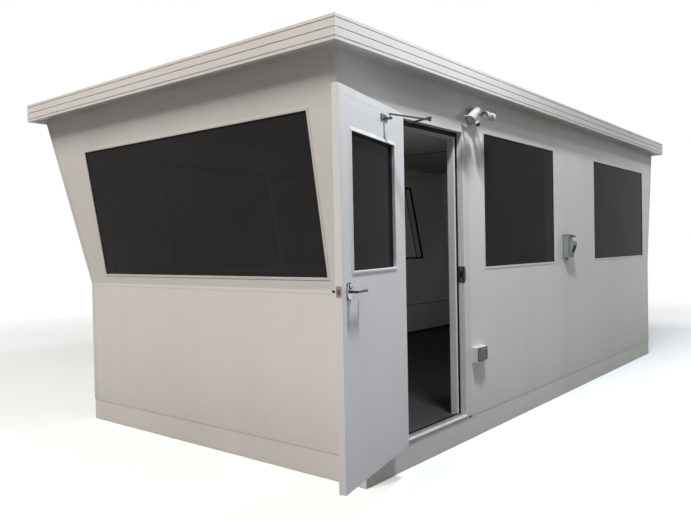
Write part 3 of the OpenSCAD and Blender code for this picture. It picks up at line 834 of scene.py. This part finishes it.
# grey under the head: painted shade
headShadeCover = Shape()
headShadeCover.box((near, tall - far, root), (wide - near, tall - near, doorway["headProud"]), opening)
headShadeCover.piece("head_shade_cover", "cabin", "grey_plastic", soft=0.0006)
ribs = Shape()
ribWide, ribTall = doorway["rib"]
for i in range(doorway["ribs"]):
    y = sillLow.y + doorway["ribStart"] + i * doorway["ribPitch"]
    ribs.box((sillLow.x + 0.002, y, sillHigh.z - 0.0005),
             (sillHigh.x - 0.002, y + ribWide, sillHigh.z + ribTall))
run = sillHigh.x - sillLow.x - 2 * doorway["sillMargin"]
for i in range(doorway["sillScrews"]):
    x = sillLow.x + doorway["sillMargin"] + i * run / (doorway["sillScrews"] - 1)
    ribs.screw(onFront((x, sillLow.y, (sillLow.z + sillHigh.z) / 2)), doorway["sillScrew"])
ribs.piece("sill_ribs", "cabin", "bright_metal", soft=0.0003)
print("doorway made")

# Hinges: the pins' caps, and a screw in each leaf plate

hinge = {
    "screw": 0.0034,
    "inset": (0.012, 0.003),  # from the plate's far edge, and below its face
    "knuckle": 0.06,  # the frame plates' longest knuckles are over this
    "cap": [(0.0072, 0), (0.0072, 0.0015), (0.005, 0.0035), (0.001, 0.004)],
}
screws = Shape()
for points, out in solids("hinge_leaf_plates"):
    local = [doorPlace.inverted() @ point for point in points]
    x, y = (max(point[k] for point in local) - hinge["inset"][k] for k in (0, 1))
    z = sum(point.z for point in points) / len(points)
    screws.screw(onFront((x, y, z), doorPlace), hinge["screw"])
screws.piece("hinge_screws", "door", "steel_satin")
pinCaps = Shape()
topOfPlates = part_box("hinge_frame_plates")[1].z
for points, out in solids("hinge_frame_plates"):
    high, low = max(point.z for point in points), min(point.z for point in points)
    if high > topOfPlates - 0.001 or high - low > hinge["knuckle"]:
        pinCaps.lathe(shifted(hingePlace, 0, 0, high - 0.0005), hinge["cap"], 20)
pinCaps.piece("hinge_caps", "cabin", "steel_satin")

# Folded covers up the leaning corners, carrying on from the lower ones

lowerLow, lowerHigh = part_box("left_wall_lower")
upperLow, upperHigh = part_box("left_wall_upper")
frontLow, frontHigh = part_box("front_wall_right")
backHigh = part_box("back_wall_upper")[1]
lowerBackLow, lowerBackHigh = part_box("back_wall_lower")
cover = {"leg": 0.045, "sheet": 0.0015}
leg, sheet = cover["leg"], cover["sheet"]
angle = [(sheet, sheet), (-leg, sheet), (-leg, 0), (0, 0), (0, -leg), (sheet, -leg)]
covers = Shape()
for sx in (-1, 1):
    for sy in (-1, 1):
        rows = []
        for z, reach, depth in (
            (lowerHigh.z, -lowerLow.x, lowerBackHigh.y), (upperHigh.z - 0.001, -upperLow.x, backHigh.y),
        ):
            y = depth if sy > 0 else frontLow.y
            rows.append([Vector((sx * (reach + a), y + sy * b, z)) for a, b in angle])
        covers.skin(rows)
covers.piece("upper_corner_covers", "cabin", "trim_white")

# Cover strips along the waist of the leaning walls

waist = {"height": 0.022, "proud": 0.0012}
low, high = lowerHigh.z - waist["height"], lowerHigh.z + 0.0002
strips = Shape()
strips.ends(-lowerLow.x, waist["proud"], frontLow.y, lowerBackHigh.y, low, high)
strips.box((lowerLow.x, lowerBackHigh.y, low), (-lowerLow.x, lowerBackHigh.y + waist["proud"], high))
strips.piece("waist_strips", "cabin", "panel_white", soft=0.0004)

# Roof: standing seams, an edge flashing inside the fascia, and screws beside the seams

roof = {
    "pitch": 0.6,
    "seam": (0.022, 0.013),  # width and height
    "seamMargin": 0.06,
    "flashing": (0.09, 0.012),
    "screwPitch": 0.45,
    "screwAside": 0.05,
    "screwMargins": (0.16, 0.12),
    "screw": [(0.008, 0), (0.008, 0.001), (0.005, 0.0022), (0.005, 0.006), (0.001, 0.0065)],
    "sunk": 0.0005,
}
roofLow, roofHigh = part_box("roof_panel")
roofWide, roofDeep = roofHigh.x - roofLow.x, roofHigh.y - roofLow.y
top = roofHigh.z - roof["sunk"]
wide, tall = roof["seam"]
seam = [(-wide / 2, 0), (wide / 2, 0), (wide / 4, tall), (-wide / 4, tall)]
alongY = Matrix.Rotation(-math.pi / 2, 4, "X") @ Matrix.Scale(-1, 4, (0, 1, 0))
sheets, roofScrews = Shape(), Shape()
count = round(roofWide / roof["pitch"])
for i in range(1, count):
    x = roofLow.x + i * roofWide / count
    sheets.prism(seam, roofLow.y + roof["seamMargin"], roofHigh.y - roof["seamMargin"],
                 Matrix.Translation((x, 0, top)) @ alongY)
    y = roofLow.y + roof["screwMargins"][0]
    while y < roofHigh.y - roof["screwMargins"][1]:
        roofScrews.lathe(Matrix.Translation((x + roof["screwAside"], y, top)), roof["screw"], 6)
        y += roof["screwPitch"]
wide, tall = roof["flashing"]
sheets.ring(Matrix.Translation((roofLow.x, roofLow.y, top)), roofWide, roofDeep,
            [(0.0005, 0), (0.0005, tall), (0.012, tall), (wide, 0.002), (wide, 0)])
sheets.piece("roof_seams", "cabin", "roof_white", soft=0.001)
roofScrews.piece("roof_screws", "cabin", "bright_metal")
print("corners and roof made")

# Inside: cornice, a joint strip round the walls, and skirting

room = {
    "cornice": (0.150, 0.012),  # height and thickness
    "joint": 0.6,  # its height above the ground
    "jointSize": (0.007, 0.002),
    "skirting": (0.035, 0.006),
}
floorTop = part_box("floor_deck")[1].z
innerX = -lowerHigh.x
innerBack = lowerBackLow.y
innerFront = frontHigh.y
ceiling = roofLow.z


def roomRow(z, depth):  # the room's outline at a height over the waist, drawn in by a depth
    share = (z - lowerHigh.z) / (ceiling - lowerHigh.z)
    x = innerX + share * (lowerLow.x - upperLow.x) - depth
    front, back = innerFront + depth, innerBack + share * (backHigh.y - lowerBackHigh.y) - depth
    return [Vector((-x, front, z)), Vector((x, front, z)), Vector((x, back, z)), Vector((-x, back, z))]


tall, thick = room["cornice"]
low, high = ceiling - tall, ceiling - 0.004
cornice = Shape()
cornice.skin([roomRow(z, depth) for z, depth in ((low, 0), (high, 0), (high, thick), (low, thick))], True)
cornice.piece("cornice", "cabin", "trim_white", soft=0.0015)
tall, proud = room["jointSize"]
low, high = room["joint"], room["joint"] + tall
joint = Shape()
joint.box((-innerX, innerBack - proud, low), (innerX, innerBack, high))
joint.ends(innerX, -proud, innerFront, innerBack, low, high)
joint.piece("wall_joints", "cabin", "black_rubber")
tall, thick = room["skirting"]
skirting = Shape()
skirting.box((-innerX, innerBack - thick, floorTop), (innerX, innerBack, floorTop + tall))
skirting.ends(innerX, -thick, innerFront, innerBack, floorTop, floorTop + tall)
skirting.box((frameHigh.x, innerFront, floorTop), (innerX, innerFront + thick, floorTop + tall))
skirting.piece("skirting", "cabin", "floor_vinyl", soft=0.002)
print("inside trim made")

# Spot light: lenses with their bezels, fins, clamp knobs, and the sensor's lens; the left head's lens is
# pale to paint light into its shaded face, the right's lens and bezel dark to paint shade

# the two heads are alike: the left's pale lens paints light, the right's dark lens and bezel paint shade
spotLooks = {
    "spot_left": {"turn": 0, "drop": 36, "length": 0.155, "lens": "lens", "bezel": "white_plastic"},
    "spot_right": {"turn": 8, "drop": 6, "length": 0.2, "lens": "dark_lens", "bezel": "dark_plastic"},
}
spot = {  # (radius, distance from the mouth) points, and the fins from the tail
    "lens": [(0.0296, -0.0163), (0.0296, -0.011), (0.024, -0.0085), (0.015, -0.0068), (0.001, -0.006)],
    "bezel": [(0.0302, -0.015), (0.0302, -0.002), (0.0325, 0.0006), (0.0355, -0.0004), (0.0355, -0.004),
              (0.031, -0.015)],
    "fins": 4,
    "finStart": 0.012,
    "finPitch": 0.009,
    "fin": [(0.020, 0), (0.0295, 0.0006), (0.0295, 0.0026), (0.020, 0.0032)],
    "knobAside": 0.024,
    "knob": [(0.011, 0), (0.011, 0.009), (0.009, 0.012), (0.004, 0.013)],
}
for body, look in spotLooks.items():
    tail = (
        Matrix.Translation(pivotOf[body])
        @ Matrix.Rotation(math.radians(look["turn"]), 4, "Z")
        @ Matrix.Rotation(-math.radians(90 + look["drop"]), 4, "Y")
        @ Matrix.Translation((0, 0, look["length"] / -2))
    )
    mouth = shifted(tail, 0, 0, look["length"])
    lens, bezel, fins, knob = Shape(), Shape(), Shape(), Shape()
    lens.lathe(mouth, spot["lens"], 40)
    lens.piece(body + "_lens", body, "white_plastic", look["lens"])
    bezel.lathe(mouth, spot["bezel"], 40, True)
    bezel.piece(body + "_bezel", body, "white_plastic", look["bezel"])
    for i in range(spot["fins"]):
        fins.lathe(shifted(tail, 0, 0, spot["finStart"] + i * spot["finPitch"]), spot["fin"])
    fins.piece(body + "_fins", body, "white_plastic", soft=0.0004)
    knob.lathe(onFront(pivotOf[body] - Vector((0, spot["knobAside"], 0))), spot["knob"], 18)
    knob.piece(body + "_knob", body, "white_plastic", "dark_plastic", soft=0.0008)
sensor = {
    "ball": (-1.636, -1.528, 2.335),
    "radius": 0.0203,
    "look": (-0.5, -0.75, -0.75),
    "open": 44,  # degrees from the middle of the lens to its edge
    "rows": 9,
    "steps": 8.2,  # the last row stops just short of the middle
}
aim = Vector(sensor["look"]).to_track_quat("Z", "Y").to_matrix().to_4x4()
dome = Matrix.Translation(sensor["ball"]) @ aim
slopes = [math.radians(sensor["open"] * (1 - i / sensor["steps"])) for i in range(sensor["rows"])]
shape = Shape()
shape.lathe(dome, [(sensor["radius"] * math.sin(a), sensor["radius"] * math.cos(a)) for a in slopes])
shape.piece("sensor_lens", "cabin", "white_plastic", "black_rubber")
print("spot light made")

# Inlet: dark cap, lid seam, a pale slope that paints the highlight on the lid's top, a black mouth that
# paints the shade under the lid, and screws

inlet = {
    "foot": 0.024,  # the lid's foot above the box's
    # plates on the lid, from a low to a high (out, up)
    "slope": {"low": (0.040, 0.152), "high": (0.026, 0.190), "thick": 0.0014, "inset": 0.004},
    "mouth": {"low": (0.016, 0.044), "high": (0.042, 0.118), "thick": 0.0008, "inset": 0.007},
    "trim": 0.04,  # the share of a plate's length left free at each end
    "screw": 0.0045,
    "screwInset": 0.013,
    "screwDrop": 0.02,
    "cap": (0.014, 0.017),  # back from the lid's face, and down from its top
    "top": 0.006,
    "seam": 0.004,
}
inletLow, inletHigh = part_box("inlet_box")
flapLow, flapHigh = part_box("inlet_flap")
foot = inletLow.z + inlet["foot"]
fittings = Shape()
back, down = inlet["cap"]
fittings.box((flapLow.x - 0.0006, flapLow.y + back, flapHigh.z - down),
             (flapHigh.x + 0.0006, flapHigh.y - 0.001, flapHigh.z + 0.0006))
fittings.box((inletLow.x - 0.0004, inletLow.y + 0.001, inletHigh.z - inlet["top"]),
             (inletHigh.x + 0.0004, inletHigh.y, inletHigh.z + 0.0004))
fittings.box((inletLow.x - 0.0005, inletHigh.y - inlet["seam"], foot),
             (inletHigh.x + 0.0005, inletHigh.y, inletHigh.z + 0.0005))
fittings.piece("inlet_cap", "cabin", "grey_plastic", "dark_plastic", soft=0.001)


def lidPlate(settings):  # a plate on the lid's sloping face
    low, high = settings["low"], settings["high"]
    rise = Vector((0, low[0] - high[0], high[1] - low[1]))
    corner = (flapLow.x + settings["inset"], inletLow.y - low[0], foot + low[1])
    place = facing(corner, (1, 0, 0), rise.normalized())
    wide, margin = flapHigh.x - flapLow.x - 2 * settings["inset"], rise.length * inlet["trim"]
    plate = Shape()
    plate.box((0, margin, -0.0006), (wide, rise.length - margin, settings["thick"]), place)
    return plate


# a pale plate on the slope: painted highlight; a black plate in the mouth: painted shade
lidPlate(inlet["slope"]).piece("inlet_slope", "cabin", "grey_plastic", "inlet_pale", soft=0.0006)
lidPlate(inlet["mouth"]).piece("inlet_mouth_shade", "cabin", "black_rubber")
screws = Shape()
for x in (inletLow.x + inlet["screwInset"], inletHigh.x - inlet["screwInset"]):
    for z in (foot + inlet["screwInset"], inletHigh.z - inlet["screwDrop"]):
        screws.screw(onFront((x, inletLow.y, z)), inlet["screw"])
screws.piece("inlet_screws", "cabin", "steel_satin")

# Socket: hinge barrel over the lid, a finger lip, a rim on the lid, and a skirt round the back plate

socket = {
    "barrel": [(0.006, 0), (0.0065, 0.002), (0.0065, 0.083), (0.006, 0.085)],
    "barrelFrom": 0.03,
    "lip": (0.045, 0.006),  # inset from the lid's sides, and reach
    "rimInset": (0.028, 0.022, 0.030),  # at the sides, foot and top
    "rim": [(0, -0.001), (0.001, 0.0022), (0.005, 0.0022), (0.006, -0.001)],
    "skirtOut": 0.003,
    "skirt": [(0, -0.0065), (0, -0.001), (0.0015, 0), (0.004, 0), (0.004, -0.0065)],
}
socketLow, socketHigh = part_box("socket_box")
lidLow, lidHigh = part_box("socket_insert")
barrel = Shape()
barrelEnd = (lidLow.x + socket["barrelFrom"], socketLow.y + 0.008, socketHigh.z - 0.001)
barrel.lathe(facing(barrelEnd, (0, 1, 0), (0, 0, 1)), socket["barrel"], 20)
barrel.piece("socket_hinge", "cabin", "white_plastic", soft=0.0005)
inset, reach = socket["lip"]
side, foot, head = socket["rimInset"]
lip = Shape()
lip.box((lidLow.x + inset, lidLow.y - reach, lidLow.z + 0.002),
        (lidHigh.x - inset, lidLow.y + 0.001, lidLow.z + 0.009))
lip.ring(shifted(onFront(lidLow), side, foot, 0),
         lidHigh.x - lidLow.x - 2 * side, lidHigh.z - lidLow.z - foot - head, socket["rim"])
lip.piece("socket_lid_rim", "cabin", "grey_plastic", "lid_grey", soft=0.0006)
grow = socket["skirtOut"]
skirt = Shape()
skirt.ring(onFront((socketLow.x - grow, socketHigh.y + socket["skirt"][0][1], socketLow.z - grow)),
           socketHigh.x - socketLow.x + 2 * grow, socketHigh.z - socketLow.z + 2 * grow, socket["skirt"])
skirt.piece("socket_skirt", "cabin", "white_plastic", soft=0.0004)
print("electrical fittings made")

# Skid base: weld beads where the rails meet

weld = {"radius": 0.0022, "steps": 26, "sides": 8, "sunk": 0.0008, "clear": 0.004, "ripple": 2.4}
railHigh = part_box("base_long_rails")[1]
around = turns(weld["sides"])
welds = Shape()
for sx in (-1, 1):
    for sy in (-1, 1):
        rows = []
        for i in range(weld["steps"] + 1):
            z = weld["clear"] + (railHigh.z - 2 * weld["clear"]) * i / weld["steps"]
            r = weld["radius"] * (0.75 + 0.25 * math.sin(i * weld["ripple"]))
            x, y = sx * (railHigh.x - weld["sunk"]), sy * (railHigh.y - weld["sunk"])
            rows.append([Vector((x + r * math.cos(a), y + r * math.sin(a), z)) for a in around])
        welds.skin(rows)
welds.piece("base_welds", "cabin", "base_paint")
print("base made")

# Floor and lights

studio = {
    "floorRadius": 40,
    "fade": (5.0, 11.0),  # metres from the middle over which the floor turns plain white
    "floor": tone(245, 251, 255),
    "bounce": tone(107, 105, 103),
    "ambient": tone(226, 226, 225),
    "ambientLow": 0.245,  # strength at the horizon and overhead
    "ambientHigh": 0.38,
    "key": {"at": (-2.8, -2.88, 5.6), "aim": (-1.4, -1.4, 1.0), "size": (0.7, 0.14), "watts": 260,
            "colour": (0.92, 0.967, 1.0)},
    "keyFar": {"at": (5.9, -3.8, 5.6), "aim": (4.4, -1.4, 1.3), "size": (1.4, 0.5), "watts": 150,
               "colour": (0.97, 0.97, 0.97)},
    "fill": {"at": (-13.7, 0.0, 16.7), "aim": (-3.0, 0.0, 1.2), "size": (8.0, 6.0), "watts": 3750,
             "colour": (1.0, 0.91, 0.82)},
    "inside": {"at": (-1.4, -1.1, 1.5), "aim": (1.7, 0.95, 1.2), "size": (0.5, 1.2), "watts": 8.5,
               "colour": (1.0, 1.0, 1.0)},
}


def areaLight(name, settings):
    data = bpy.data.lights.new(name, "AREA")
    data.shape = "RECTANGLE"
    data.size, data.size_y = settings["size"]
    data.energy = settings["watts"]
    data.color = settings["colour"]
    lamp = bpy.data.objects.new(name, data)
    lamp.location = settings["at"]
    ray = Vector(settings["aim"]) - Vector(settings["at"])
    lamp.rotation_euler = ray.to_track_quat("-Z", "Y").to_euler()
    bpy.context.scene.collection.objects.link(lamp)
    return lamp


def seenWhite(recipe):  # 1 for the rays that show the background
    camera, glossy, passing = (
        recipe.node("ShaderNodeLightPath", output=name)
        for name in ("Is Camera Ray", "Is Glossy Ray", "Is Transmission Ray")
    )
    return recipe.ramp(camera + glossy + passing, 0, 1)


def makeWorld(settings):
    world = bpy.data.worlds.new("studio")
    bpy.context.scene.world = world
    world.use_nodes = True
    world.node_tree.nodes.clear()
    recipe = Recipe(world.node_tree)
    upward = recipe.node("ShaderNodeSeparateXYZ", None,
                         {0: recipe.node("ShaderNodeTexCoord", output="Generated")}, output=2)
    strength = recipe.ramp(upward, 0, 1, settings["ambientLow"], settings["ambientHigh"])
    ambient = recipe.node("ShaderNodeBackground", None, {"Color": settings["ambient"], "Strength": strength})
    white = recipe.node("ShaderNodeBackground", None, {"Color": (1, 1, 1, 1)})
    shown = recipe.node("ShaderNodeMixShader", None, {0: seenWhite(recipe), 1: ambient, 2: white})
    recipe.node("ShaderNodeOutputWorld", None, {0: shown})


def makeFloor(settings):
    shape = bmesh.new()
    bmesh.ops.create_circle(shape, cap_ends=True, segments=96, radius=settings["floorRadius"])
    data = bpy.data.meshes.new("floor")
    shape.to_mesh(data)
    shape.free()
    material = bpy.data.materials.new("studioFloor")
    material.use_nodes = True
    material.node_tree.nodes.clear()
    recipe = Recipe(material.node_tree)
    distance = recipe.node("ShaderNodeVectorMath", {"operation": "LENGTH"}, {0: recipe.place()}, output=1)
    fade = recipe.ramp(distance, *settings["fade"])
    pale = recipe.node("ShaderNodeBsdfDiffuse", None, {"Color": settings["floor"]})
    plain = recipe.node("ShaderNodeEmission", None, {"Color": (1, 1, 1, 1)})
    bounce = recipe.node("ShaderNodeBsdfDiffuse", None, {"Color": settings["bounce"]})
    seen = recipe.node("ShaderNodeMixShader", None, {0: fade, 1: pale, 2: plain})
    shown = recipe.node("ShaderNodeMixShader", None, {0: seenWhite(recipe), 1: bounce, 2: seen})
    recipe.node("ShaderNodeOutputMaterial", None, {0: shown})
    data.materials.append(material)
    floor = bpy.data.objects.new("floor", data)
    floor.location.z = cadLow.z - 0.001
    bpy.context.scene.collection.objects.link(floor)


makeWorld(studio)
makeFloor(studio)
for name in ("key", "keyFar", "fill"):
    areaLight(name, studio[name])
inside = areaLight("inside", studio["inside"])
inside.visible_camera = inside.visible_glossy = inside.visible_transmission = False
print("floor and lights placed")
